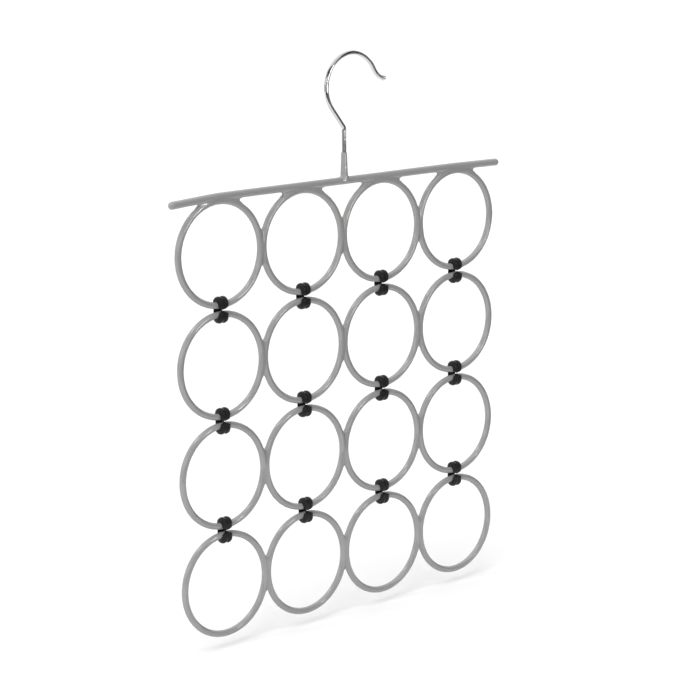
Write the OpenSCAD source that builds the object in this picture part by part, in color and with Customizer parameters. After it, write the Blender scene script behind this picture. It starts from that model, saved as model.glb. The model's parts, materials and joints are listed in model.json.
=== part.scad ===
// Folding ring hanger for scarves: a chrome hook, a coated top bar and rows of coated wire
// rings, hinged to each other by snap clips. Millimetres, +Z up, +X along the bar, front at -Y.
// The origin is where the rail bears, at the top of the inside of the hook. The rows hang
// straight down, and each one can fold up against the one above it.

/* [Rings] */
// Rings side by side in a row
ring_columns = 4; // [3:1:5]
// Rows of rings, one under the other
ring_rows = 4; // [2:1:5]
// Diameter of a ring, measured at the middle of its wire
ring_d = 80; // [64:0.5:100]
// Diameter of the bare steel wire of a ring
ring_wire_d = 3.2; // [2.6:0.1:4]
// How far two welded wires sink into each other
weld_sink = 0.2; // [0.1:0.05:0.4]

/* [Vinyl coating] */
// Thickness of the dipped coating on every wire
coating_t = 1; // [0.6:0.1:1.5]
// Widest gap between two wires that the coating still bridges beside a weld
web_gap = 3; // [1.5:0.1:4]
// Thickness of the bridging web, front to back
web_t = 3.8; // [2.5:0.1:4.8]
// Gap drawn between a wire and its coating, so that the two faces never cross
bond_gap = 0.02; // [0.01:0.01:0.05]

/* [Top bar] */
// Diameter of the bare steel wire of the bar
bar_wire_d = 4; // [3.2:0.1:5]
// How far the coated bar reaches past the leftmost ring
left_overhang = 4.9; // [3:0.1:20]
// How far the coated bar reaches past the rightmost ring
right_overhang = 6.9; // [3:0.1:20]
// Angle by which the left end of the bar droops
left_droop = 3.2; // [0.5:0.1:6]
// Angle by which the right end of the bar droops
right_droop = 0.9; // [0.5:0.1:6]
// Radius of the gentle bend where an end starts to droop
droop_bend_r = 300; // [100:10:400]
// How far inside the middle of the outermost ring the droop starts
droop_inset = 6.5; // [2:0.5:15]
// How far the wire stands past the middle of the round coated end
bar_tip_stand = 1.2; // [0.5:0.1:1.5]

/* [Hook] */
// Diameter of the chromed hook wire
hook_wire_d = 3.6; // [3:0.1:4.5]
// Radius of the hook's arc, measured at the middle of the wire
hook_r = 26.4; // [22:0.1:30]
// Height of the hook's crown above the bar, middle of wire to middle of wire
hook_h = 100; // [90:0.5:130]
// How far the crown stands to the right of the stem
hook_offset = 8.4; // [0:0.1:12]
// How far the stem is welded to the right of the middle of the rings
stem_shift = 2.4; // [0:0.1:6]
// Height of the stem's bend above the middle of the bar
stem_h = 41.7; // [38:0.1:46]
// Radius of the stem's bend
stem_bend_r = 4; // [3:0.5:6]
// Angle above level at which the arc ends, on the open side
hook_end_angle = 28; // [10:1:40]
// Radius of the outward curl at the hook's tip
curl_r = 16; // [10:0.5:20]
// Angle of the outward curl
curl_angle = 48; // [30:1:60]
// Diameter of the rounded bead that ends the hook
tip_ball_d = 4.4; // [3.8:0.1:6]

/* [Stem sleeve] */
// Height of the coated sleeve on the stem above the middle of the bar
sleeve_h = 22.4; // [14:0.1:30]
// Wall of the sleeve at its foot
sleeve_foot_t = 1.4; // [0.8:0.1:2.5]
// Wall of the sleeve at its top
sleeve_top_t = 0.5; // [0.3:0.1:1.2]
// Height and width of the fillet where the sleeve meets the bar
sleeve_fillet = 0.9; // [0.3:0.1:2]

/* [Clips] */
// Width of a clip along the wire
clip_w = 9.8; // [7:0.1:14]
// Gap between the coated wires of two rows in a clip
wire_gap = 1.8; // [1:0.1:4]
// Play between a coated wire and the bore that it turns in, all round
clip_play = 0.45; // [0.35:0.05:0.8]
// Wall at the front of a clip
clip_wall = 2.15; // [1.4:0.05:3]
// Thickness of the flat spine at the back of a clip
spine_t = 1.1; // [0.8:0.1:2]
// How far a clip's lobe is raised beyond the middle of its wire
lobe_rise = 2; // [1:0.1:3]
// How far a clip's lip reaches past the middle of its wire
lip_reach = 1.5; // [0.5:0.1:2]
// Width of each of the two ribs round a clip
rib_w = 4.4; // [3:0.1:4.6]
// Rounding of the ribs' edges
rib_round = 1.3; // [0.5:0.1:1.4]
// Depth of the groove between the ribs
groove_d = 0.9; // [0.4:0.1:1.3]
// Width of the small tooth under the upper lip
tooth_w = 2.4; // [1.5:0.1:4]
// Length of the small tooth
tooth_l = 1.6; // [0.6:0.1:1.7]

/* [Hidden] */

$fn = 96;
vinyl = [0.58, 0.58, 0.57];
steel = [0.55, 0.56, 0.58];
chrome = [0.85, 0.86, 0.88];
black_plastic = [0.12, 0.12, 0.13];

// Radii of the bare and the coated wires
ring_r = ring_d / 2;
ring_wire_r = ring_wire_d / 2;
ring_coat_r = ring_wire_r + coating_t;
bar_wire_r = bar_wire_d / 2;
bar_coat_r = bar_wire_r + coating_t;
hook_wire_r = hook_wire_d / 2;

// Places: the hook's crown, the stem and bar under it, and the rings of each row
hook_centre_z = hook_wire_r - hook_r;
stem_x = -hook_offset;
middle_x = stem_x - stem_shift;
bar_z = hook_wire_r - hook_h;
stem_bend_z = bar_z + stem_h;
ring_pitch = ring_d + ring_wire_d - weld_sink;
bar_drop = ring_r + ring_wire_r + bar_wire_r - weld_sink;
clip_pitch = 2 * ring_coat_r + wire_gap;
row_pitch = ring_d + clip_pitch;
function ring_x(c) = middle_x + (c - (ring_columns + 1) / 2) * ring_pitch;
function ring_z(r) = bar_z - bar_drop - (r - 1) * row_pitch;

// Half the width of a coated row, and where the ends of the bar start to droop
row_half = (ring_columns - 1) / 2 * ring_pitch + ring_r + ring_coat_r;
droop_x = (ring_columns - 1) / 2 * ring_pitch - droop_inset;

// Where the webs beside the welds end: the gap between the coated wires is web_gap there
outer_r = ring_r + ring_coat_r;
weld_web_h = sqrt(pow(outer_r, 2) - pow((ring_pitch - web_gap) / 2, 2));
bar_web_top = bar_drop - bar_coat_r;
bar_web_x = sqrt(pow(outer_r, 2) - pow(bar_web_top - web_gap, 2));
web_sunk = 1;

// The clip's bore, its outer lobe and its flat back
bore_r = ring_coat_r + clip_play;
lobe_r = bore_r + clip_wall;
back_y = bore_r + spine_t;

// Large enough to cut right through or past any piece
big = 1000;

// Straight runs of wire reach into the bends beside them, and the bends are a touch thicker,
// so that no two of their surfaces fall on each other
run_lap = 0.1;
bend_step = 0.01;

// Turns a shape drawn in the XY plane up into the XZ plane
module upright() rotate([90, 0, 0]) children();

// An arc of round wire in the XZ plane, its centre at the origin, angles from +X towards +Z
module wire_arc(bend_r, wire_r, from, sweep)
    upright() rotate([0, 0, from]) rotate_extrude(angle = sweep)
        translate([bend_r, 0]) circle(r = wire_r + bend_step);

// A straight round wire from the origin, tilted up from +X by an angle
module wire_run(length, wire_r, tilt)
    rotate([0, 90 - tilt, 0]) translate([0, 0, -run_lap])
        cylinder(h = length + 2 * run_lap, r = wire_r);

// A whole ring of round wire about the origin, in the XZ plane
module ring_tube(wire_r)
    upright() rotate_extrude() translate([ring_r, 0]) circle(r = wire_r);

// The drooping right end of the bar, its places measured from the middle of the rings
module bar_end(wire_r, droop, overhang, longer, ball) {
    bend_x = droop_x + droop_bend_r * sin(droop);
    tip_x = row_half + overhang - bar_coat_r + bar_tip_stand;
    run = (tip_x - bend_x) / cos(droop) + longer;
    translate([droop_x, 0, -droop_bend_r]) wire_arc(droop_bend_r, wire_r, 90 - droop, droop);
    translate([bend_x, 0, droop_bend_r * (cos(droop) - 1)]) {
        wire_run(run, wire_r, -droop);
        if (ball) rotate([0, droop, 0]) translate([run, 0, 0]) sphere(r = wire_r + 2 * bend_step);
    }
}

// The bar's whole length of round wire, each end longer by a given amount or ended in a ball
module bar_tube(wire_r, longer, ball)
    translate([middle_x, 0, bar_z]) {
        translate([-droop_x, 0, 0]) wire_run(2 * droop_x, wire_r, 0);
        bar_end(wire_r, right_droop, right_overhang, longer, ball);
        mirror([1, 0, 0]) bar_end(wire_r, left_droop, left_overhang, longer, ball);
    }

// The vinyl web above and below the weld between two rings, about the weld
module ring_web()
    upright() linear_extrude(height = web_t, center = true) difference() {
        polygon([
            [-web_gap / 2 - web_sunk, -weld_web_h], [web_gap / 2 + web_sunk, -weld_web_h],
            [web_sunk, 0],
            [web_gap / 2 + web_sunk, weld_web_h], [-web_gap / 2 - web_sunk, weld_web_h],
            [-web_sunk, 0]
        ]);
        for (end = [-1, 1]) translate([0, end * weld_web_h]) circle(d = web_gap);
    }

// The vinyl web between the bar and the top of a ring, about the ring's middle
module bar_web()
    upright() linear_extrude(height = web_t, center = true) difference() {
        translate([-bar_web_x, 0]) square([2 * bar_web_x, bar_drop]);
        circle(r = ring_r);
        for (side = [-1, 1])
            translate([side * bar_web_x, bar_web_top - web_gap / 2]) circle(d = web_gap);
    }

// The tapered sleeve that the coating leaves on the hook's stem, with its fillet on the bar
module stem_sleeve() translate([stem_x, 0, bar_z]) {
    foot_r = hook_wire_r + sleeve_foot_t;
    top_r = hook_wire_r + sleeve_top_t;
    rotate_extrude() polygon([
        [0, 0],
        [bar_coat_r - web_sunk / 4, 0],
        [foot_r, bar_coat_r + sleeve_fillet],
        [top_r, sleeve_h - sleeve_top_t],
        [hook_wire_r + sleeve_top_t / 2, sleeve_h],
        [0, sleeve_h]
    ]);
    upright() linear_extrude(height = web_t, center = true) polygon([
        [-foot_r - 2 * sleeve_fillet, bar_coat_r - web_sunk],
        [foot_r + 2 * sleeve_fillet, bar_coat_r - web_sunk],
        [foot_r + sleeve_fillet, bar_coat_r + sleeve_fillet / 3],
        [foot_r + sleeve_fillet / 3, bar_coat_r + sleeve_fillet],
        [foot_r - web_sunk, bar_coat_r + 3 * sleeve_fillet],
        [web_sunk - foot_r, bar_coat_r + 3 * sleeve_fillet],
        [-foot_r - sleeve_fillet / 3, bar_coat_r + sleeve_fillet],
        [-foot_r - sleeve_fillet, bar_coat_r + sleeve_fillet / 3]
    ]);
}

// The hook: stem, bend, slanted run, arc over the rail and the curled tip with its bead
module hook() color(chrome) {
    to_centre = [-stem_x, hook_centre_z - stem_bend_z];
    slant = atan2(to_centre[1], to_centre[0]) + asin(hook_r / norm(to_centre));
    turn = slant - 90;
    bend_cut = stem_bend_r * tan(turn / 2);
    slant_l = sqrt(pow(norm(to_centre), 2) - pow(hook_r, 2));
    arc_end = hook_end_angle - atan2(run_lap, hook_r);
    difference() {
        translate([stem_x, 0, bar_z]) wire_run(stem_h - bend_cut, hook_wire_r, 90);
        translate([stem_x - big / 2, 0, bar_z]) wire_run(big, bar_wire_r, 0);
    }
    translate([stem_x - stem_bend_r, 0, stem_bend_z - bend_cut])
        wire_arc(stem_bend_r, hook_wire_r, 0, turn);
    translate([stem_x + bend_cut * cos(slant), 0, stem_bend_z + bend_cut * sin(slant)])
        wire_run(slant_l - bend_cut, hook_wire_r, slant);
    translate([0, 0, hook_centre_z]) {
        wire_arc(hook_r, hook_wire_r, arc_end, slant + 90 - arc_end);
        upright() rotate([0, 0, hook_end_angle]) translate([hook_r + curl_r, 0])
            rotate([-90, 0, 0]) {
                wire_arc(curl_r, hook_wire_r + bend_step, 180, curl_angle);
                translate([-curl_r * cos(curl_angle), 0, -curl_r * sin(curl_angle)])
                    sphere(d = tip_ball_d);
            }
    }
}

// The bare steel wire of the top bar
module bar_wire() color(steel) bar_tube(bar_wire_r, 0, false);

// One bare steel ring, cut flat where it's welded to its neighbours, and in the first row
// seated on the bar
module ring_wire(r, c) color(steel) difference() {
    left = c == 1 ? -big : -ring_pitch / 2;
    right = c == ring_columns ? big : ring_pitch / 2;
    translate([ring_x(c), 0, ring_z(r)]) intersection() {
        ring_tube(ring_wire_r);
        translate([left, -big, -big]) cube([right - left, 2 * big, 2 * big]);
    }
    if (r == 1) bar_tube(bar_wire_r, 0, false);
}

// The vinyl skin of one row, with the hollow that its wires fill
module coating_row(r) color(vinyl) difference() {
    union() {
        for (c = [1 : ring_columns])
            translate([ring_x(c), 0, ring_z(r)]) ring_tube(ring_coat_r);
        for (c = [1 : ring_columns - 1])
            translate([ring_x(c) + ring_pitch / 2, 0, ring_z(r)]) ring_web();
        if (r == 1) {
            for (c = [1 : ring_columns]) translate([ring_x(c), 0, ring_z(r)]) bar_web();
            bar_tube(bar_coat_r, -bar_tip_stand, true);
            stem_sleeve();
        }
    }
    for (c = [1 : ring_columns])
        translate([ring_x(c), 0, ring_z(r)]) ring_tube(ring_wire_r + bond_gap);
    if (r == 1) {
        bar_tube(bar_wire_r + bond_gap, bond_gap, false);
        translate([stem_x, 0, bar_z]) cylinder(h = stem_h, r = hook_wire_r + bond_gap);
    }
}

// Section of a clip's outer wall: two rounded ribs beside a groove, from the lobe's axis out
module rib_section() {
    translate([0, -clip_w / 2 + rib_round]) square([lobe_r - groove_d, clip_w - 2 * rib_round]);
    for (side = [-1, 1]) translate([0, side * (clip_w - rib_w) / 2]) {
        translate([0, -rib_w / 2]) square([lobe_r - rib_round, rib_w]);
        translate([0, -rib_w / 2 + rib_round]) square([lobe_r, rib_w - 2 * rib_round]);
        for (edge = [-1, 1])
            translate([lobe_r - rib_round, edge * (rib_w / 2 - rib_round)]) circle(r = rib_round);
    }
}

// One hook of a clip, about the wire that it turns on, with its lobe above and its lip in front
module clip_lobe() {
    top_z = lobe_rise + lobe_r + 1;
    intersection() {
        translate([0, 0, lobe_rise]) rotate([0, 90, 0]) rotate_extrude() rib_section();
        translate([-clip_w, -lobe_r - 1, lobe_rise]) cube([2 * clip_w, lobe_r + 1 + back_y, top_z]);
    }
    translate([0, 0, -lip_reach]) linear_extrude(height = lip_reach + lobe_rise)
        rotate([0, 0, -90]) rib_section();
    translate([-clip_w / 2, 0, 0]) cube([clip_w, back_y, lobe_rise]);
}

// The bore that a coated wire turns in
module clip_bore()
    translate([-clip_w, 0, 0]) rotate([0, 90, 0]) cylinder(h = 2 * clip_w, r = bore_r);

// A snap clip about its upper wire: two open hooks on one flat spine
module clip_body() difference() {
    union() {
        clip_lobe();
        translate([0, 0, -clip_pitch]) mirror([0, 0, 1]) clip_lobe();
        translate([-clip_w / 2, back_y - spine_t, -clip_pitch])
            cube([clip_w, spine_t, clip_pitch]);
        translate([-tooth_w / 2, 0, -lip_reach]) rotate([90, 0, 90])
            linear_extrude(height = tooth_w) polygon([
                [-lobe_r + groove_d, 0.5], [-bore_r + 0.4, 0.5],
                [-bore_r + 0.2, -tooth_l], [-bore_r - 0.6, -tooth_l]
            ]);
    }
    clip_bore();
    translate([0, 0, -clip_pitch]) clip_bore();
}

// The clip in gap g, under row g, on the ring in column c
module clip(g, c) color(black_plastic)
    translate([ring_x(c), 0, ring_z(g) - ring_r]) clip_body();

hook();
bar_wire();
for (r = [1 : ring_rows], c = [1 : ring_columns])
    ring_wire(r, c);
for (r = [1 : ring_rows])
    coating_row(r);
for (g = [1 : ring_rows - 1], c = [1 : ring_columns])
    clip(g, c);
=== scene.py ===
"""A folding ring hanger for scarves: chromed hook, coated bar, rows of coated rings and clips."""
import json
import math

import bpy
import numpy as np
from mathutils import Matrix, Vector


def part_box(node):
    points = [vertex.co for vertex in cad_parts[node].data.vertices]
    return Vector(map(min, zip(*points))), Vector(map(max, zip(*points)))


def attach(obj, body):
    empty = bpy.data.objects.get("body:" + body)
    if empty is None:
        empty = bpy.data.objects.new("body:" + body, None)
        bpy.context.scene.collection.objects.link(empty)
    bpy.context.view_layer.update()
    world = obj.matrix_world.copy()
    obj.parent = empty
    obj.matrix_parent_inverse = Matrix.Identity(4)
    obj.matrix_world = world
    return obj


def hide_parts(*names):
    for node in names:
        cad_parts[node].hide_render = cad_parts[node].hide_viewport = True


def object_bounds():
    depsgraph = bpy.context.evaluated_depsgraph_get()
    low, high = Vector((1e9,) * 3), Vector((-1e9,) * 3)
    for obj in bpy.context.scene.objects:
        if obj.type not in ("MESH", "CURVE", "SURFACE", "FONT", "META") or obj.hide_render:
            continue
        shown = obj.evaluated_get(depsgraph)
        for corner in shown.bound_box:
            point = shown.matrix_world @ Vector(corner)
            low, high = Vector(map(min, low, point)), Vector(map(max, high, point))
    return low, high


bl_info = {
    "name": "Ring hanger",
    "version": (1, 0, 0),
    "blender": (4, 5, 0),
    "location": "View3D > Sidebar > Ring hanger",
    "description": "Builds the skins, clips, hook and stage of a folding ring hanger",
    "category": "Add Mesh",
}

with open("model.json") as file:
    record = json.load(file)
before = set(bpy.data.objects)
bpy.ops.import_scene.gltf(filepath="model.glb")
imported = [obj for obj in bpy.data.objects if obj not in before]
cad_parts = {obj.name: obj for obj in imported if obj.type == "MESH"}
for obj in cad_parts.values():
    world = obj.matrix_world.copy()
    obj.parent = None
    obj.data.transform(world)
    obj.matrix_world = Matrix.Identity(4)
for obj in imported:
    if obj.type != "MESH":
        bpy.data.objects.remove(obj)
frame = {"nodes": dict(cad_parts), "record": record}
CAD_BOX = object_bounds()

COLUMNS = 4
ROWS = 4
IMAGE_WIDTH = 681

# Meshes: rounds of settling on the surface, and the steps along the hook and sides of its wire
SETTLE_ROUNDS = 4
STEM_POINTS = 40
SLANT_POINTS = 24
CAP_POINTS = 12
ARC_POINTS_LEAST = 8
BEND_STEP = 0.00025
ARC_STEP = 0.0006
CURL_STEP = 0.0003
HOOK_SIDES = 40

# Finishes: height in metres that a skin height of 1 stands for
SKIN_UNIT = 0.0001

# The set: levels of the world and floor, and distances in metres
WORLD_FILL = 0.34
FLOOR_SHADE = 0.80
FLOOR_GLOW = 0.20
FLOOR_REACH = 30.0
SUN_DISTANCE = 3.0


def frame_joint_height(name):
    """Height of a hinge of the frame, in metres."""
    for joint in frame["record"]["behaviour"]["joints"]:
        if joint["name"] == name:
            return joint["pos_m"][2]
    raise RuntimeError("the frame has no joint called " + name)


def clip_middle(gap, column):
    """Middle of one clip's box across the hanger, in metres."""
    low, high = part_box(f"clip_{gap}_{column}")
    return (low.x + high.x) / 2


# The places that the frame gives: columns, rows and the two hinge lines of each gap
COLUMN_X = [clip_middle(1, column + 1) for column in range(COLUMNS)]
UPPER_LINE = [frame_joint_height(f"clips_{gap}_on_row_{gap}") for gap in range(1, ROWS)]
LOWER_LINE = [frame_joint_height(f"row_{gap + 1}_in_clips_{gap}") for gap in range(1, ROWS)]


# Settings


class RowSettings(bpy.types.PropertyGroup):
    """Sizes of the coated rows and of the bar"""

    ring_radius: bpy.props.FloatProperty(
        name="Ring radius", description="Radius of a ring at the middle of its wire",
        default=0.040, unit="LENGTH")
    wire_radius: bpy.props.FloatProperty(
        name="Wire radius", description="Radius of a coated ring wire",
        default=0.0026, unit="LENGTH")
    bar_radius: bpy.props.FloatProperty(
        name="Bar radius", description="Radius of the coated top bar",
        default=0.0030, unit="LENGTH")
    bar_drop: bpy.props.FloatProperty(
        name="Bar above rings", description="Height of the bar over the middle of the first row",
        default=0.0434, unit="LENGTH")
    left_reach: bpy.props.FloatProperty(
        name="Left reach", description="Reach of the bar to the left of the middle of the rings",
        default=0.1720, unit="LENGTH")
    right_reach: bpy.props.FloatProperty(
        name="Right reach", description="Reach of the bar to the right of the middle of the rings",
        default=0.1740, unit="LENGTH")
    left_droop: bpy.props.FloatProperty(
        name="Left droop", description="Angle by which the left end of the bar droops",
        default=math.radians(3.2), subtype="ANGLE")
    right_droop: bpy.props.FloatProperty(
        name="Right droop", description="Angle by which the right end of the bar droops",
        default=math.radians(0.9), subtype="ANGLE")
    droop_start: bpy.props.FloatProperty(
        name="Droop start", description="Where the bar starts to droop, from the middle",
        default=0.1180, unit="LENGTH")
    droop_bend: bpy.props.FloatProperty(
        name="Droop bend", description="Radius of the bend where the bar starts to droop",
        default=0.3000, unit="LENGTH")
    web_fillet: bpy.props.FloatProperty(
        name="Web fillet", description="Radius of the coating's edge between two wires",
        default=0.0016, unit="LENGTH")
    web_thickness: bpy.props.FloatProperty(
        name="Web thickness", description="Thickness of the coating between a ring and the bar",
        default=0.0033, unit="LENGTH")
    weld_thickness: bpy.props.FloatProperty(
        name="Weld thickness", description="Thickness of the coating between two rings",
        default=0.0030, unit="LENGTH")
    web_edge: bpy.props.FloatProperty(
        name="Web edge", description="Rounding of the edges of the thin coating in the corners",
        default=0.0012, unit="LENGTH")
    ring_blend: bpy.props.FloatProperty(
        name="Ring blend", description="Rounding of the coating where two rings cross",
        default=0.0008, unit="LENGTH")
    weld_blend: bpy.props.FloatProperty(
        name="Weld blend", description="Rounding of the coating beside a weld of two rings",
        default=0.0014, unit="LENGTH")
    bar_blend: bpy.props.FloatProperty(
        name="Bar blend", description="Rounding of the coating where a ring meets the bar",
        default=0.0012, unit="LENGTH")
    web_blend: bpy.props.FloatProperty(
        name="Web blend", description="Rounding of the coating beside a web under the bar",
        default=0.0016, unit="LENGTH")
    grid: bpy.props.FloatProperty(
        name="Mesh step", description="Size of the mesh faces on the coating",
        default=0.00072, unit="LENGTH")


class SleeveSettings(bpy.types.PropertyGroup):
    """Sizes of the coating that runs up the hook's stem"""

    height: bpy.props.FloatProperty(
        name="Height", description="Top of the sleeve above the middle of the bar",
        default=0.0224, unit="LENGTH")
    foot_radius: bpy.props.FloatProperty(
        name="Foot radius", description="Radius of the sleeve just above the bar",
        default=0.0031, unit="LENGTH")
    top_radius: bpy.props.FloatProperty(
        name="Top radius", description="Radius of the sleeve at its top",
        default=0.00228, unit="LENGTH")
    taper: bpy.props.FloatProperty(
        name="Taper", description="How evenly the sleeve narrows: 1 is a straight cone",
        default=0.8, min=0.1, max=4)
    top_edge: bpy.props.FloatProperty(
        name="Top edge", description="Rounding of the sleeve's top edge",
        default=0.0008, unit="LENGTH")
    foot_edge: bpy.props.FloatProperty(
        name="Foot edge", description="Rounding of the sleeve's hidden foot inside the bar",
        default=0.0004, unit="LENGTH")
    foot_blend: bpy.props.FloatProperty(
        name="Foot blend", description="Rounding of the coating where the sleeve meets the bar",
        default=0.0022, unit="LENGTH")


class ClipSettings(bpy.types.PropertyGroup):
    """Sizes of a snap clip"""

    width: bpy.props.FloatProperty(
        name="Width", description="Width of a clip along the wire",
        default=0.0098, unit="LENGTH")
    bore_radius: bpy.props.FloatProperty(
        name="Bore radius", description="Radius of the bore that a wire turns in",
        default=0.00305, unit="LENGTH")
    lobe_radius: bpy.props.FloatProperty(
        name="Lobe radius", description="Outer radius of the ribs",
        default=0.0052, unit="LENGTH")
    lobe_rise: bpy.props.FloatProperty(
        name="Lobe rise", description="Height of the lobe's middle over the wire",
        default=0.0020, unit="LENGTH")
    lip_reach: bpy.props.FloatProperty(
        name="Lip reach", description="Reach of the lip past the middle of the wire",
        default=0.0018, unit="LENGTH")
    tongue_reach: bpy.props.FloatProperty(
        name="Tongue reach", description="How much further the lip reaches at its middle",
        default=0.0013, unit="LENGTH")
    tongue_width: bpy.props.FloatProperty(
        name="Tongue width", description="Half width of the tongue at the middle of the lip",
        default=0.0020, unit="LENGTH")
    shoulder: bpy.props.FloatProperty(
        name="Shoulder", description="How far the lobes slope down towards the clip's sides",
        default=0.0009, unit="LENGTH")
    spine: bpy.props.FloatProperty(
        name="Spine", description="Thickness of the flat spine",
        default=0.0011, unit="LENGTH")
    rib_width: bpy.props.FloatProperty(
        name="Rib width", description="Width of one rib",
        default=0.0044, unit="LENGTH")
    groove: bpy.props.FloatProperty(
        name="Groove depth", description="Depth of the groove between the ribs",
        default=0.0009, unit="LENGTH")
    rounding: bpy.props.FloatProperty(
        name="Rounding", description="Rounding of the outer edges of the ribs",
        default=0.0017, unit="LENGTH")
    rib_blend: bpy.props.FloatProperty(
        name="Rib blend", description="Rounding of the inner edges beside the groove",
        default=0.0006, unit="LENGTH")
    back_edge: bpy.props.FloatProperty(
        name="Back edge", description="Rounding of the edges of the flat back",
        default=0.0006, unit="LENGTH")
    lip_edge: bpy.props.FloatProperty(
        name="Lip edge", description="Rounding of the lips of the mouth",
        default=0.0018, unit="LENGTH")
    bore_edge: bpy.props.FloatProperty(
        name="Bore edge", description="Rounding of the edges of the bore",
        default=0.0005, unit="LENGTH")
    grid: bpy.props.FloatProperty(
        name="Mesh step", description="Size of the mesh faces on a clip",
        default=0.00030, unit="LENGTH")


class HookSettings(bpy.types.PropertyGroup):
    """Sizes of the hook"""

    wire_radius: bpy.props.FloatProperty(
        name="Wire radius", description="Radius of the hook's wire",
        default=0.0018, unit="LENGTH")
    arc_radius: bpy.props.FloatProperty(
        name="Arc radius", description="Radius of the hook's arc at the middle of the wire",
        default=0.0264, unit="LENGTH")
    offset: bpy.props.FloatProperty(
        name="Offset", description="How far the arc's middle stands to the right of the stem",
        default=0.0084, unit="LENGTH")
    height: bpy.props.FloatProperty(
        name="Height", description="Height of the crown over the bar, middle to middle",
        default=0.1000, unit="LENGTH")
    stem_height: bpy.props.FloatProperty(
        name="Stem height", description="Height of the stem's bend over the bar",
        default=0.0417, unit="LENGTH")
    stem_bend: bpy.props.FloatProperty(
        name="Stem bend", description="Radius of the stem's bend",
        default=0.0040, unit="LENGTH")
    end_angle: bpy.props.FloatProperty(
        name="End angle", description="Angle above level at which the arc ends",
        default=math.radians(28), subtype="ANGLE")
    curl_radius: bpy.props.FloatProperty(
        name="Curl radius", description="Radius of the outward curl at the tip",
        default=0.0160, unit="LENGTH")
    curl_angle: bpy.props.FloatProperty(
        name="Curl angle", description="Angle of the outward curl",
        default=math.radians(48), subtype="ANGLE")
    bead_radius: bpy.props.FloatProperty(
        name="Bead radius", description="Radius of the rounded bead at the tip",
        default=0.0023, unit="LENGTH")


class FinishSettings(bpy.types.PropertyGroup):
    """Colours and gloss of the finishes"""

    vinyl: bpy.props.FloatVectorProperty(
        name="Vinyl", description="Colour of the dipped coating",
        default=(0.306, 0.306, 0.304), subtype="COLOR", size=3, min=0, max=1)
    clip: bpy.props.FloatVectorProperty(
        name="Clip", description="Colour of the clips",
        default=(0.0128, 0.0112, 0.0116), subtype="COLOR", size=3, min=0, max=1)
    chrome: bpy.props.FloatVectorProperty(
        name="Chrome", description="Colour of the plated hook",
        default=(0.68, 0.67, 0.68), subtype="COLOR", size=3, min=0, max=1)
    steel: bpy.props.FloatVectorProperty(
        name="Steel", description="Colour of the bare wire under the coating",
        default=(0.52, 0.52, 0.53), subtype="COLOR", size=3, min=0, max=1)
    vinyl_roughness: bpy.props.FloatProperty(
        name="Vinyl roughness", description="Roughness of the dipped coating",
        default=0.06, min=0, max=1)
    clip_roughness: bpy.props.FloatProperty(
        name="Clip roughness", description="Roughness of the clips",
        default=0.34, min=0, max=1)
    chrome_roughness: bpy.props.FloatProperty(
        name="Chrome roughness", description="Roughness of the plated hook",
        default=0.07, min=0, max=1)
    steel_roughness: bpy.props.FloatProperty(
        name="Steel roughness", description="Roughness of the bare wire under the coating",
        default=0.38, min=0, max=1)


class StageSettings(bpy.types.PropertyGroup):
    """The camera and the floor"""

    camera_place: bpy.props.FloatVectorProperty(
        name="Camera place", description="Where the camera stands",
        default=(-1.2456, -1.3889, 0.1570), subtype="TRANSLATION", size=3, unit="LENGTH")
    camera_turn: bpy.props.FloatProperty(
        name="Camera turn", description="Heading of the camera, from +Y towards +X",
        default=math.radians(41.574), subtype="ANGLE")
    camera_tilt: bpy.props.FloatProperty(
        name="Camera tilt", description="Tilt of the camera above level",
        default=math.radians(-11.668), subtype="ANGLE")
    camera_roll: bpy.props.FloatProperty(
        name="Camera roll", description="Roll of the camera about its view",
        default=math.radians(-0.425), subtype="ANGLE")
    focal_pixels: bpy.props.FloatProperty(
        name="Focal length", description="Focal length in pixels of a frame 681 pixels wide",
        default=2374.4, min=100)
    floor_gap: bpy.props.FloatProperty(
        name="Floor gap", description="Gap between the lowest ring and the floor",
        default=0.0085, unit="LENGTH")


# Distance fields and their meshes


def join(a, b, blend):
    """Union of two distance fields, with a rounded inner edge."""
    overlap = np.maximum(blend - np.abs(a - b), 0) / blend
    return np.minimum(a, b) - overlap * overlap * blend / 4


def common(a, b, blend):
    """Intersection of two distance fields, with a rounded outer edge."""
    return -join(-a, -b, blend)


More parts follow.
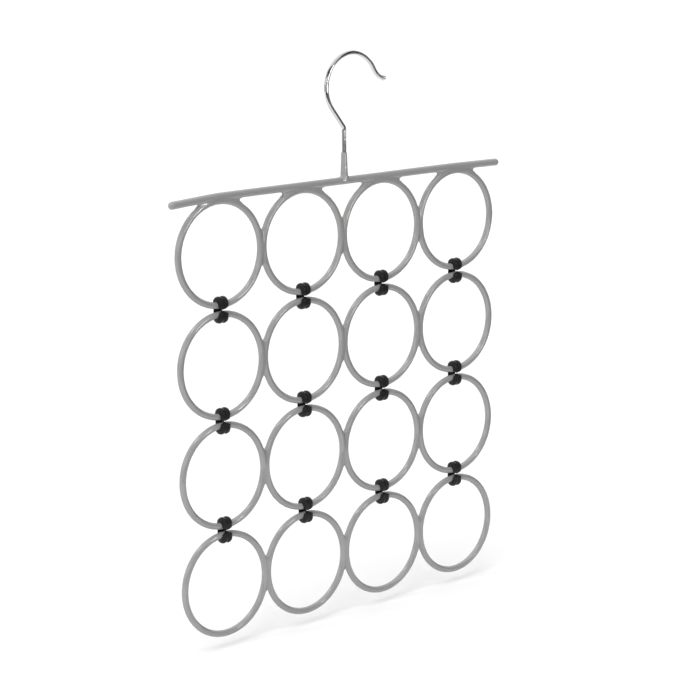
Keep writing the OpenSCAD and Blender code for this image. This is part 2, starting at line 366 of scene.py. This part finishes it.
def surface_nets(field, low, high, step):
    """A closed quad mesh of the surface where the field is nought, its points on that surface."""
    counts = [int(math.ceil((h - l) / step)) + 1 for l, h in zip(low, high)]
    axes = [l + step * np.arange(n) for l, n in zip(low, counts)]
    values = field(axes[0][:, None, None], axes[1][None, :, None], axes[2][None, None, :])
    values = np.broadcast_to(values, counts)
    inside = values < 0

    cells = [n - 1 for n in counts]
    total = np.zeros(cells + [3])
    crossings = np.zeros(cells)
    for axis in range(3):
        others = [a for a in range(3) if a != axis]
        for first in (0, 1):
            for second in (0, 1):
                start = [slice(0, c) for c in cells]
                start[others[0]] = slice(first, first + cells[others[0]])
                start[others[1]] = slice(second, second + cells[others[1]])
                end = list(start)
                end[axis] = slice(1, 1 + cells[axis])
                a, b = values[tuple(start)], values[tuple(end)]
                cut = inside[tuple(start)] != inside[tuple(end)]
                share = np.where(cut, a / np.where(cut, a - b, 1), 0)
                total[..., axis] += share
                total[..., others[0]] += cut * first
                total[..., others[1]] += cut * second
                crossings += cut
    used = crossings > 0
    index = np.full(cells, -1)
    index[used] = np.arange(used.sum())
    corner = np.argwhere(used)
    points = (corner + total[used] / crossings[used][:, None]) * step + np.array(low)

    quads = []
    for axis in range(3):
        one, two = (axis + 1) % 3, (axis + 2) % 3
        start = [slice(None)] * 3
        end = [slice(None)] * 3
        start[axis], end[axis] = slice(0, -1), slice(1, None)
        a, b = inside[tuple(start)], inside[tuple(end)]
        edges = np.argwhere(a != b)
        edges = edges[(edges[:, one] > 0) & (edges[:, two] > 0)]
        edges = edges[(edges[:, one] < cells[one]) & (edges[:, two] < cells[two])]
        outward = a[tuple(edges.T)]
        ring = []
        for back_one, back_two in ((0, 0), (1, 0), (1, 1), (0, 1)):
            cell = edges.copy()
            cell[:, one] -= back_one
            cell[:, two] -= back_two
            ring.append(index[tuple(cell.T)])
        quad = np.stack(ring, 1)
        quad[~outward] = quad[~outward][:, ::-1]
        quads.append(quad)
    quads = np.concatenate(quads)

    nudge = step / 50
    least_slope = 0.25
    for _ in range(SETTLE_ROUNDS):
        here = field(*points.T)
        slope = np.empty_like(points)
        for axis in range(3):
            ahead, behind = points.copy(), points.copy()
            ahead[:, axis] += nudge
            behind[:, axis] -= nudge
            slope[:, axis] = (field(*ahead.T) - field(*behind.T)) / (2 * nudge)
        steep = np.maximum((slope ** 2).sum(1), least_slope)
        move = here / steep
        points -= slope * np.clip(move, -step / 2, step / 2)[:, None]
    return points, quads


def add_mesh(name, points, faces, material):
    """A smooth-shaded mesh object made of points and faces."""
    mesh = bpy.data.meshes.new(name)
    mesh.from_pydata([tuple(p) for p in points], [], [tuple(int(i) for i in f) for f in faces])
    mesh.polygons.foreach_set("use_smooth", [True] * len(mesh.polygons))
    mesh.materials.append(material)
    mesh.update()
    if mesh.validate():
        raise RuntimeError(name + " came out with broken faces")
    piece = bpy.data.objects.new(name, mesh)
    bpy.context.scene.collection.objects.link(piece)
    return piece


# Materials


def add_node(tree, kind, **sockets):
    """A node of a material, with the values of some of its inputs."""
    node = tree.nodes.new(kind)
    for name, value in sockets.items():
        node.inputs[name.replace("_", " ")].default_value = value
    return node


def add_math(tree, operation, *inputs):
    """The result of a math node whose inputs are sockets to link or plain numbers."""
    node = tree.nodes.new("ShaderNodeMath")
    node.operation = operation
    for socket, given in zip(node.inputs, inputs):
        if isinstance(given, bpy.types.NodeSocket):
            tree.links.new(given, socket)
        else:
            socket.default_value = given
    return node.outputs[0]


def surface_variation():
    """Shared group: cloudy colour, uneven gloss and a fine skin, each with its own strength."""
    name = "Surface variation"
    if name in bpy.data.node_groups:
        return bpy.data.node_groups[name]
    group = bpy.data.node_groups.new(name, "ShaderNodeTree")
    face = group.interface
    face.new_socket("Color", in_out="INPUT", socket_type="NodeSocketColor")
    for socket, value in (("Cloud scale", 60.0), ("Cloud strength", 0.05), ("Gloss", 0.4),
                          ("Gloss spread", 0.05), ("Skin scale", 900.0), ("Skin height", 0.2)):
        made = face.new_socket(socket, in_out="INPUT", socket_type="NodeSocketFloat")
        made.default_value = value
    face.new_socket("Color", in_out="OUTPUT", socket_type="NodeSocketColor")
    face.new_socket("Roughness", in_out="OUTPUT", socket_type="NodeSocketFloat")
    face.new_socket("Height", in_out="OUTPUT", socket_type="NodeSocketFloat")
    entry = group.nodes.new("NodeGroupInput")
    leave = group.nodes.new("NodeGroupOutput")
    link = group.links.new

    place = group.nodes.new("ShaderNodeTexCoord")
    cloud = add_node(group, "ShaderNodeTexNoise", Detail=4.0, Roughness=0.55)
    link(place.outputs["Object"], cloud.inputs["Vector"])
    link(entry.outputs["Cloud scale"], cloud.inputs["Scale"])
    middle = add_math(group, "SUBTRACT", cloud.outputs["Fac"], 0.5)
    shade = add_math(group, "MULTIPLY_ADD", middle, entry.outputs["Cloud strength"], 1.0)
    tint = group.nodes.new("ShaderNodeVectorMath")
    tint.operation = "SCALE"
    link(entry.outputs["Color"], tint.inputs[0])
    link(shade, tint.inputs["Scale"])
    link(tint.outputs[0], leave.inputs["Color"])

    gloss = add_math(group, "MULTIPLY_ADD", middle, entry.outputs["Gloss spread"],
                     entry.outputs["Gloss"])
    link(gloss, leave.inputs["Roughness"])

    skin = add_node(group, "ShaderNodeTexNoise", Detail=2.0, Roughness=0.5)
    link(place.outputs["Object"], skin.inputs["Vector"])
    link(entry.outputs["Skin scale"], skin.inputs["Scale"])
    height = add_math(group, "MULTIPLY", skin.outputs["Fac"], entry.outputs["Skin height"])
    link(height, leave.inputs["Height"])
    return group


def finish_material(name, color, roughness, cloud, gloss_spread, skin, metallic=0.0,
                    specular=0.5):
    """A material with the shared variation. Cloud and skin are each a scale and a strength."""
    if name in bpy.data.materials:
        return bpy.data.materials[name]
    material = bpy.data.materials.new(name)
    material.use_nodes = True
    tree = material.node_tree
    shader = tree.nodes["Principled BSDF"]
    shader.inputs["Metallic"].default_value = metallic
    shader.inputs["Specular IOR Level"].default_value = specular
    varied = tree.nodes.new("ShaderNodeGroup")
    varied.node_tree = surface_variation()
    varied.inputs["Color"].default_value = (*color, 1)
    varied.inputs["Cloud scale"].default_value = cloud[0]
    varied.inputs["Cloud strength"].default_value = cloud[1]
    varied.inputs["Gloss"].default_value = roughness
    varied.inputs["Gloss spread"].default_value = gloss_spread
    varied.inputs["Skin scale"].default_value = skin[0]
    varied.inputs["Skin height"].default_value = skin[1]
    bump = add_node(tree, "ShaderNodeBump", Distance=SKIN_UNIT)
    tree.links.new(varied.outputs["Color"], shader.inputs["Base Color"])
    tree.links.new(varied.outputs["Roughness"], shader.inputs["Roughness"])
    tree.links.new(varied.outputs["Height"], bump.inputs["Height"])
    tree.links.new(bump.outputs["Normal"], shader.inputs["Normal"])
    material.diffuse_color = (*color, 1)
    return material


def vinyl_material():
    """Grey vinyl from a dip: glossy, with a hardly uneven skin."""
    look = bpy.context.scene.hanger_finish
    return finish_material("Grey dipped vinyl", look.vinyl, look.vinyl_roughness,
                           cloud=(45.0, 0.05), gloss_spread=0.03, skin=(260.0, 0.02),
                           specular=0.90)


def clip_material():
    """Black moulded plastic: half dull, with a fine grain."""
    look = bpy.context.scene.hanger_finish
    return finish_material("Black moulded plastic", look.clip, look.clip_roughness,
                           cloud=(420.0, 0.50), gloss_spread=0.10, skin=(2500.0, 0.08),
                           specular=0.24)


def chrome_material():
    """Bright chrome plate on drawn wire, almost smooth."""
    look = bpy.context.scene.hanger_finish
    return finish_material("Chrome plate", look.chrome, look.chrome_roughness,
                           cloud=(120.0, 0.04), gloss_spread=0.02, skin=(110.0, 0.004),
                           metallic=1.0)


def steel_material():
    """Bare drawn steel, as it is under the coating."""
    look = bpy.context.scene.hanger_finish
    return finish_material("Drawn steel wire", look.steel, look.steel_roughness,
                           cloud=(200.0, 0.15), gloss_spread=0.15, skin=(1500.0, 0.3),
                           metallic=1.0)


# The coated rows


def row_height(row):
    """Height of the middle of a row's rings, in metres."""
    sizes = bpy.context.scene.hanger_rows
    if row == 0:
        return UPPER_LINE[0] + sizes.ring_radius
    return LOWER_LINE[row - 1] - sizes.ring_radius


def bar_sag(across, sizes):
    """How far the bar has drooped at a place across the hanger, from the middle of the rings."""
    sag = np.zeros_like(across)
    for side, droop in ((-1, sizes.left_droop), (1, sizes.right_droop)):
        along = side * across - sizes.droop_start
        bent = sizes.droop_bend * math.sin(droop)
        on_bend = np.clip(along, 0, bent)
        past = np.maximum(along - bent, 0)
        sag = sag + sizes.droop_bend - np.sqrt(sizes.droop_bend ** 2 - on_bend ** 2)
        sag = sag + past * math.tan(droop)
    return sag


def row_field(row):
    """Distance from the skin of one row: rings, the webs between them and the bar over them."""
    sizes = bpy.context.scene.hanger_rows
    sleeve = bpy.context.scene.hanger_sleeve
    hook = bpy.context.scene.hanger_hook
    radius, wire, fillet = sizes.ring_radius, sizes.wire_radius, sizes.web_fillet
    middle = sum(COLUMN_X) / COLUMNS
    centre_z = row_height(row)
    half_pitch = (COLUMN_X[1] - COLUMN_X[0]) / 2
    ball = radius + wire + fillet
    ball_z = math.sqrt(ball ** 2 - half_pitch ** 2)
    web_end = ball_z * (radius + wire) / ball
    bar_ball_z = sizes.bar_drop - sizes.bar_radius - fillet
    bar_ball_x = math.sqrt(ball ** 2 - bar_ball_z ** 2)

    def plate(flat, y, thickness):
        return common(flat, np.abs(y) - thickness / 2, sizes.web_edge)

    def field(x, y, z):
        height = z - centre_z
        rings, flats = None, None
        for ring_x in COLUMN_X:
            ring = np.hypot(np.hypot(x - ring_x, height) - radius, y) - wire
            rings = ring if rings is None else join(rings, ring, sizes.ring_blend)
        for left, right in zip(COLUMN_X, COLUMN_X[1:]):
            aside = np.abs(x - (left + right) / 2)
            away = np.abs(height)
            inner = np.sqrt(np.maximum(radius ** 2 - away ** 2, 0))
            flat = fillet - np.hypot(aside, away - ball_z)
            flat = np.maximum(flat, away - web_end)
            flat = np.maximum(flat, aside - half_pitch + inner)
            flats = flat if flats is None else np.minimum(flats, flat)
        body = join(rings, plate(flats, y, sizes.weld_thickness), sizes.weld_blend)
        if row > 0:
            return body

        flats = None
        for ring_x in COLUMN_X:
            aside = np.abs(x - ring_x)
            flat = fillet - np.hypot(aside - bar_ball_x, height - bar_ball_z)
            flat = np.maximum(flat, aside - bar_ball_x)
            flat = np.maximum(flat, radius - np.hypot(aside, height))
            flat = np.maximum(flat, np.maximum(height - sizes.bar_drop, -height))
            flats = flat if flats is None else np.minimum(flats, flat)
        across = x - middle
        along = np.maximum(across - sizes.right_reach + sizes.bar_radius,
                           -across - sizes.left_reach + sizes.bar_radius)
        along = np.maximum(along, 0)
        over = height - sizes.bar_drop + bar_sag(across, sizes)
        bar = np.sqrt(along ** 2 + y ** 2 + over ** 2) - sizes.bar_radius
        body = join(body, bar, sizes.bar_blend)
        body = join(body, plate(flats, y, sizes.web_thickness), sizes.web_blend)

        over = height - sizes.bar_drop
        share = np.clip((over - sizes.bar_radius) / (sleeve.height - sizes.bar_radius), 0, 1)
        narrowing = (sleeve.top_radius - sleeve.foot_radius) * share ** sleeve.taper
        tube = np.hypot(x + hook.offset, y) - sleeve.foot_radius - narrowing
        tube = common(tube, over - sleeve.height, sleeve.top_edge)
        tube = common(tube, -over, sleeve.foot_edge)
        return join(body, tube, sleeve.foot_blend)

    return field


def coated_rows():
    """The collection of the coated rows, which tells the highlight lamps what to light."""
    name = "coated rows"
    return bpy.data.collections.get(name) or bpy.data.collections.new(name)


class HANGER_OT_rows(bpy.types.Operator):
    """Builds the dipped skin of every row as one continuous mesh"""

    bl_idname = "hanger.rows"
    bl_label = "Coated rows"

    def execute(self, context):
        sizes = context.scene.hanger_rows
        room = 1.5 * sizes.grid
        for row in range(ROWS):
            node = f"coating_row_{row + 1}"
            low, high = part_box(node)
            points, quads = surface_nets(row_field(row), [v - room for v in low],
                                         [v + room for v in high], sizes.grid)
            skin = add_mesh(f"row_skin_{row + 1}", points, quads, vinyl_material())
            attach(skin, "hook_and_row_1" if row == 0 else f"row_{row + 1}")
            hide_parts(node)
            coated_rows().objects.link(skin)
        return {"FINISHED"}


# The clips


def clip_field():
    """Distance from the skin of a clip, about its upper wire, with the front at -Y."""
    sizes = bpy.context.scene.hanger_clips
    reach = UPPER_LINE[0] - LOWER_LINE[0]
    back = sizes.bore_radius + sizes.spine

    def field(x, y, z):
        up = np.abs(z + reach / 2) - reach / 2
        side = np.abs(x)
        radial = np.hypot(y, np.maximum(up - sizes.lobe_rise, 0))
        radial = radial + sizes.shoulder * (2 * side / sizes.width) ** 2
        rib_middle = (sizes.width - sizes.rib_width) / 2
        over = radial - sizes.lobe_radius + sizes.rounding
        beside = np.abs(side - rib_middle) - sizes.rib_width / 2 + sizes.rounding
        rib = np.hypot(np.maximum(over, 0), np.maximum(beside, 0))
        rib = rib + np.minimum(np.maximum(over, beside), 0) - sizes.rounding
        core = np.maximum(radial - sizes.lobe_radius + sizes.groove,
                          side - sizes.width / 2 + sizes.rounding)
        body = join(rib, core, sizes.rib_blend)
        body = common(body, y - back, sizes.back_edge)
        tongue = sizes.tongue_reach * np.exp(-((x / sizes.tongue_width) ** 2))
        mouth = np.maximum(up + sizes.lip_reach + tongue, y - sizes.bore_radius)
        body = common(body, -mouth, sizes.lip_edge)
        bore = np.hypot(y, up) - sizes.bore_radius
        return common(body, -bore, sizes.bore_edge)

    return field


class HANGER_OT_clips(bpy.types.Operator):
    """Builds the ribbed snap clips between the rows"""

    bl_idname = "hanger.clips"
    bl_label = "Snap clips"

    def execute(self, context):
        sizes = context.scene.hanger_clips
        reach = UPPER_LINE[0] - LOWER_LINE[0]
        room = 2 * sizes.grid
        half = sizes.width / 2 + room
        deep = sizes.lobe_radius + room
        top = sizes.lobe_rise + sizes.lobe_radius + room
        points, quads = surface_nets(clip_field(), [-half, -deep, -reach - top],
                                     [half, deep, top], sizes.grid)
        for gap in range(1, ROWS):
            for column in range(COLUMNS):
                node = f"clip_{gap}_{column + 1}"
                place = np.array([COLUMN_X[column], 0, UPPER_LINE[gap - 1]])
                clip = add_mesh(f"snap_clip_{gap}_{column + 1}", points + place, quads,
                                clip_material())
                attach(clip, f"clips_{gap}")
                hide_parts(node)
        return {"FINISHED"}


# The hook


def hook_path():
    """Points along the middle of the hook's wire, from the bar to the tip, as (x, z)."""
    sizes = bpy.context.scene.hanger_hook
    crown = np.array([0.0, sizes.wire_radius - sizes.arc_radius])
    foot = np.array([-sizes.offset, sizes.wire_radius - sizes.height])
    corner = foot + np.array([0.0, sizes.stem_height])
    away = crown - corner
    far = np.hypot(*away)
    slant = math.atan2(away[1], away[0]) + math.asin(sizes.arc_radius / far)
    turn = slant - math.pi / 2
    cut = sizes.stem_bend * math.tan(turn / 2)
    straight = math.sqrt(far ** 2 - sizes.arc_radius ** 2)

    def arc(centre, radius, start, end, step):
        count = max(int(abs(end - start) * radius / step), ARC_POINTS_LEAST)
        angles = np.linspace(start, end, count)
        return [centre + radius * np.array([math.cos(a), math.sin(a)]) for a in angles]

    heights = np.linspace(0, sizes.stem_height - cut, STEM_POINTS)[:-1]
    path = [foot + np.array([0, height]) for height in heights]
    bend_centre = corner + np.array([-sizes.stem_bend, -cut])
    path += arc(bend_centre, sizes.stem_bend, 0, turn, BEND_STEP)
    heading = np.array([math.cos(slant), math.sin(slant)])
    path += [corner + heading * d for d in np.linspace(cut, straight, SLANT_POINTS)[1:-1]]
    path += arc(crown, sizes.arc_radius, slant + math.pi / 2, sizes.end_angle, ARC_STEP)
    out = np.array([math.cos(sizes.end_angle), math.sin(sizes.end_angle)])
    curl_centre = crown + out * (sizes.arc_radius + sizes.curl_radius)
    start = sizes.end_angle + math.pi
    end = start + sizes.curl_angle
    path += arc(curl_centre, sizes.curl_radius, start, end, CURL_STEP)[1:]
    return np.array(path)


def hook_outline():
    """The hook's path with its rounded end: places, side directions and the wire's radii."""
    sizes = bpy.context.scene.hanger_hook
    path = hook_path()
    heading = np.gradient(path, axis=0)
    heading /= np.linalg.norm(heading, axis=1)[:, None]
    length = np.concatenate([[0], np.cumsum(np.linalg.norm(np.diff(path, axis=0), axis=1))])
    to_tip = length[-1] - length
    bead = np.sqrt(np.maximum(sizes.bead_radius ** 2 - to_tip ** 2, 0))
    radius = np.maximum(np.full(len(path), sizes.wire_radius), bead)

    cap = np.linspace(0, math.pi / 2, CAP_POINTS)[1:]
    ends = [path[-1] + heading[-1] * sizes.bead_radius * math.sin(a) for a in cap]
    path = np.vstack([path, ends])
    heading = np.vstack([heading, np.repeat(heading[-1:], len(cap), 0)])
    radius = np.concatenate([radius, sizes.bead_radius * np.cos(cap)])
    side = np.stack([-heading[:, 1], heading[:, 0]], 1)
    return path, side, radius


def hook_skin():
    """Points and faces of the hook: rings of points along its path, closed at both ends."""
    path, side, radius = hook_outline()
    rings = len(path) - 1
    angles = np.linspace(0, 2 * math.pi, HOOK_SIDES, endpoint=False)
    points = np.zeros((rings, HOOK_SIDES, 3))
    for step in range(rings):
        points[step, :, 0] = path[step, 0] + radius[step] * side[step, 0] * np.cos(angles)
        points[step, :, 1] = radius[step] * np.sin(angles)
        points[step, :, 2] = path[step, 1] + radius[step] * side[step, 1] * np.cos(angles)
    points = np.vstack([points.reshape(-1, 3), [[path[-1, 0], 0, path[-1, 1]]]])

    faces = []
    for start in range(0, (rings - 1) * HOOK_SIDES, HOOK_SIDES):
        for spot in range(HOOK_SIDES):
            after = (spot + 1) % HOOK_SIDES
            faces.append((start + spot, start + after,
                          start + HOOK_SIDES + after, start + HOOK_SIDES + spot))
    last = (rings - 1) * HOOK_SIDES
    tip = rings * HOOK_SIDES
    for spot in range(HOOK_SIDES):
        faces.append((last + spot, last + (spot + 1) % HOOK_SIDES, tip))
    faces.append(tuple(reversed(range(HOOK_SIDES))))
    return points, faces


class HANGER_OT_hook(bpy.types.Operator):
    """Sweeps the plated wire of the hook and rounds its tip into a bead"""

    bl_idname = "hanger.hook"
    bl_label = "Hook"

    def execute(self, context):
        points, faces = hook_skin()
        hook = add_mesh("plated_hook", points, faces, chrome_material())
        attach(hook, "hook_and_row_1")
        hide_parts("hook")
        return {"FINISHED"}


class HANGER_OT_wires(bpy.types.Operator):
    """Gives the bare wires under the coating their finish"""

    bl_idname = "hanger.wires"
    bl_label = "Wires under the coating"

    def execute(self, context):
        for name, node in frame["nodes"].items():
            if name.startswith(("ring_wire", "bar_wire")):
                node.data.materials.clear()
                node.data.materials.append(steel_material())
        return {"FINISHED"}


# The stage

# Soft lamps for the whole set: name, azimuth, elevation, strength, spread. Angles in degrees
SUNS = (
    ("front_sun", -58, 32, 1.32, 40),
    ("top_sun", -75, 69, 1.62, 44),
    ("back_sun", 150, 24, 0.55, 60),
)

# Cards that only show in reflections, most of them dark or grey and one a bright strip:
# name, azimuth, elevation, distance, width and height in metres, shade (1 is white)
CARDS = (
    ("flag_left_high", -66, 39, 2.0, (2.9, 1.1), 0.03),
    ("flag_left_edge", -155, 5, 2.2, (0.7, 2.6), 0.05),
    ("flag_right", 52, 25, 2.0, (1.7, 2.2), 0.03),
    ("flag_low_front", -30, -25, 0.80, (1.8, 0.36), 0.06),
    ("flag_low_right", 38, -38, 0.70, (1.0, 0.60), 0.06),
    ("card_front", -41, -2, 2.6, (3.4, 1.2), 0.45),
    ("card_left", -108, -8, 2.2, (2.2, 1.0), 0.45),
    ("card_right", 40, -10, 2.5, (2.8, 0.8), 0.24),
    ("card_high_right", 6, 28, 2.6, (2.6, 1.7), 0.42),
    ("flag_right_edge", 84, -4, 1.8, (2.4, 1.0), 0.04),
    ("strip_right", 20, 0, 1.2, (0.09, 0.42), 15.0),
)

# Lamps that draw thin highlights on the coating alone: name, azimuth, elevation, distance,
# width and height in metres, power in watts
GLINTS = (
    ("glint_right", 19, -6, 1.3, (0.13, 0.60), 3.2),
    ("glint_left", -112, 58, 1.6, (1.00, 0.30), 3.6),
)


def bearing(azimuth, elevation):
    """Unit vector from the hanger towards a place round it. Azimuth 0 is in front, at -Y."""
    azimuth, elevation = math.radians(azimuth), math.radians(elevation)
    return Vector((math.sin(azimuth) * math.cos(elevation),
                   -math.cos(azimuth) * math.cos(elevation), math.sin(elevation)))


def place_round(piece, azimuth, elevation, distance):
    """Puts a lamp or a card at a place round the hanger, facing it."""
    towards = bearing(azimuth, elevation)
    piece.location = towards * distance
    piece.rotation_euler = towards.to_track_quat("Z", "Y").to_euler()
    bpy.context.scene.collection.objects.link(piece)


def keep_to_reflections(piece):
    """Hides a lamp or a card from everything but reflections."""
    piece.visible_camera = False
    piece.visible_diffuse = False
    piece.visible_shadow = False


def add_sun(name, azimuth, elevation, strength, spread):
    """A soft lamp, so far away that it lights the whole floor evenly."""
    light = bpy.data.lights.new(name, "SUN")
    light.energy = strength
    light.angle = math.radians(spread)
    lamp = bpy.data.objects.new(name, light)
    lamp.visible_glossy = False
    place_round(lamp, azimuth, elevation, SUN_DISTANCE)


def add_glint_lamp(name, azimuth, elevation, distance, size, power):
    """A lamp that adds a thin highlight to the coated rows and no other light."""
    light = bpy.data.lights.new(name, "AREA")
    light.shape = "RECTANGLE"
    light.size, light.size_y = size
    light.energy = power
    lamp = bpy.data.objects.new(name, light)
    lamp.light_linking.receiver_collection = coated_rows()
    keep_to_reflections(lamp)
    place_round(lamp, azimuth, elevation, distance)


def add_card(name, azimuth, elevation, distance, size, shade):
    """A card beside the set, plain and evenly bright, which only shows in reflections."""
    wide, high = size[0] / 2, size[1] / 2
    mesh = bpy.data.meshes.new(name)
    mesh.from_pydata([(-wide, -high, 0), (wide, -high, 0), (wide, high, 0), (-wide, high, 0)], [],
                     [(0, 1, 2, 3)])
    material = bpy.data.materials.new(name)
    material.use_nodes = True
    tree = material.node_tree
    tree.nodes.clear()
    leave = tree.nodes.new("ShaderNodeOutputMaterial")
    glow = add_node(tree, "ShaderNodeEmission", Color=(shade, shade, shade, 1), Strength=1.0)
    tree.links.new(glow.outputs[0], leave.inputs["Surface"])
    mesh.materials.append(material)
    card = bpy.data.objects.new(name, mesh)
    keep_to_reflections(card)
    place_round(card, azimuth, elevation, distance)


def seen_rays(tree):
    """A socket that is 1 for what the camera, a mirror or clear glass sees, and 0 for light."""
    path = tree.nodes.new("ShaderNodeLightPath")
    seen = path.outputs["Is Camera Ray"]
    for ray in ("Is Glossy Ray", "Is Transmission Ray"):
        seen = add_math(tree, "MAXIMUM", seen, path.outputs[ray])
    return seen


def white_world():
    """A pale world, pure white where the camera or a reflection meets it."""
    world = bpy.data.worlds.new("Studio")
    bpy.context.scene.world = world
    world.use_nodes = True
    tree = world.node_tree
    tree.nodes.clear()
    leave = tree.nodes.new("ShaderNodeOutputWorld")
    fill = add_node(tree, "ShaderNodeBackground", Color=(1, 1, 1, 1), Strength=WORLD_FILL)
    white = add_node(tree, "ShaderNodeBackground", Color=(1, 1, 1, 1), Strength=1.0)
    mix = tree.nodes.new("ShaderNodeMixShader")
    tree.links.new(seen_rays(tree), mix.inputs["Fac"])
    tree.links.new(fill.outputs[0], mix.inputs[1])
    tree.links.new(white.outputs[0], mix.inputs[2])
    tree.links.new(mix.outputs[0], leave.inputs["Surface"])


def floor_material():
    """White paper: plain under the lamps, with a little glow of its own where it is seen."""
    material = bpy.data.materials.new("White floor")
    material.use_nodes = True
    tree = material.node_tree
    tree.nodes.clear()
    leave = tree.nodes.new("ShaderNodeOutputMaterial")
    paper = add_node(tree, "ShaderNodeBsdfDiffuse",
                     Color=(FLOOR_SHADE, FLOOR_SHADE, FLOOR_SHADE, 1))
    glow = add_node(tree, "ShaderNodeEmission", Color=(1, 1, 1, 1))
    both = tree.nodes.new("ShaderNodeAddShader")
    level = add_math(tree, "MULTIPLY", seen_rays(tree), FLOOR_GLOW)
    tree.links.new(level, glow.inputs["Strength"])
    tree.links.new(paper.outputs[0], both.inputs[0])
    tree.links.new(glow.outputs[0], both.inputs[1])
    tree.links.new(both.outputs[0], leave.inputs["Surface"])
    return material


def add_floor(height):
    """A wide flat floor."""
    mesh = bpy.data.meshes.new("floor")
    mesh.from_pydata([(-FLOOR_REACH, -FLOOR_REACH, height), (FLOOR_REACH, -FLOOR_REACH, height),
                      (FLOOR_REACH, FLOOR_REACH, height), (-FLOOR_REACH, FLOOR_REACH, height)],
                     [], [(0, 1, 2, 3)])
    mesh.materials.append(floor_material())
    floor = bpy.data.objects.new("floor", mesh)
    bpy.context.scene.collection.objects.link(floor)


def add_camera():
    """The camera, at its place and turned by its heading, tilt and roll."""
    scene = bpy.context.scene
    stage = scene.hanger_stage
    data = bpy.data.cameras.new("camera")
    data.sensor_width = 36.0
    data.lens = stage.focal_pixels * data.sensor_width / IMAGE_WIDTH
    data.clip_start, data.clip_end = 0.05, 100
    turn, tilt, roll = stage.camera_turn, stage.camera_tilt, stage.camera_roll
    ahead = Vector((math.sin(turn) * math.cos(tilt), math.cos(turn) * math.cos(tilt),
                    math.sin(tilt)))
    right = ahead.cross(Vector((0, 0, 1))).normalized()
    above = right.cross(ahead)
    rolled_right = right * math.cos(roll) + above * math.sin(roll)
    rolled_above = above * math.cos(roll) - right * math.sin(roll)
    pose = Matrix((rolled_right, rolled_above, -ahead)).transposed().to_4x4()
    pose.translation = stage.camera_place
    camera = bpy.data.objects.new("camera", data)
    camera.matrix_world = pose
    scene.collection.objects.link(camera)
    scene.camera = camera


class HANGER_OT_stage(bpy.types.Operator):
    """Sets the floor, the lamps, the cards that the chrome mirrors and the camera"""

    bl_idname = "hanger.stage"
    bl_label = "Stage"

    def execute(self, context):
        scene = context.scene
        scene.view_settings.view_transform = "Standard"
        add_floor(CAD_BOX[0].z - scene.hanger_stage.floor_gap)
        white_world()
        for sun in SUNS:
            add_sun(*sun)
        for glint in GLINTS:
            add_glint_lamp(*glint)
        for card in CARDS:
            add_card(*card)
        add_camera()
        return {"FINISHED"}


class HANGER_PT_sidebar(bpy.types.Panel):
    """Lists the pieces that can be built"""

    bl_label = "Ring hanger"
    bl_idname = "HANGER_PT_sidebar"
    bl_space_type = "VIEW_3D"
    bl_region_type = "UI"
    bl_category = "Ring hanger"

    def draw(self, context):
        for operator in OPERATORS:
            self.layout.operator(operator.bl_idname)
        for name in SETTINGS:
            box = self.layout.box()
            group = getattr(context.scene, name)
            for prop in group.bl_rna.properties:
                if prop.identifier not in ("rna_type", "name"):
                    box.prop(group, prop.identifier)


SETTINGS = {
    "hanger_rows": RowSettings,
    "hanger_sleeve": SleeveSettings,
    "hanger_clips": ClipSettings,
    "hanger_hook": HookSettings,
    "hanger_finish": FinishSettings,
    "hanger_stage": StageSettings,
}
OPERATORS = (HANGER_OT_stage, HANGER_OT_hook, HANGER_OT_rows, HANGER_OT_clips, HANGER_OT_wires)


def register():
    for name, group in SETTINGS.items():
        bpy.utils.register_class(group)
        setattr(bpy.types.Scene, name, bpy.props.PointerProperty(type=group))
    for operator in OPERATORS:
        bpy.utils.register_class(operator)
    bpy.utils.register_class(HANGER_PT_sidebar)


def unregister():
    bpy.utils.unregister_class(HANGER_PT_sidebar)
    for operator in reversed(OPERATORS):
        bpy.utils.unregister_class(operator)
    for name, group in SETTINGS.items():
        delattr(bpy.types.Scene, name)
        bpy.utils.unregister_class(group)


def main():
    register()
    bpy.ops.hanger.stage()
    bpy.ops.hanger.hook()
    bpy.ops.hanger.rows()
    bpy.ops.hanger.clips()
    bpy.ops.hanger.wires()


if __name__ == "__main__":
    main()
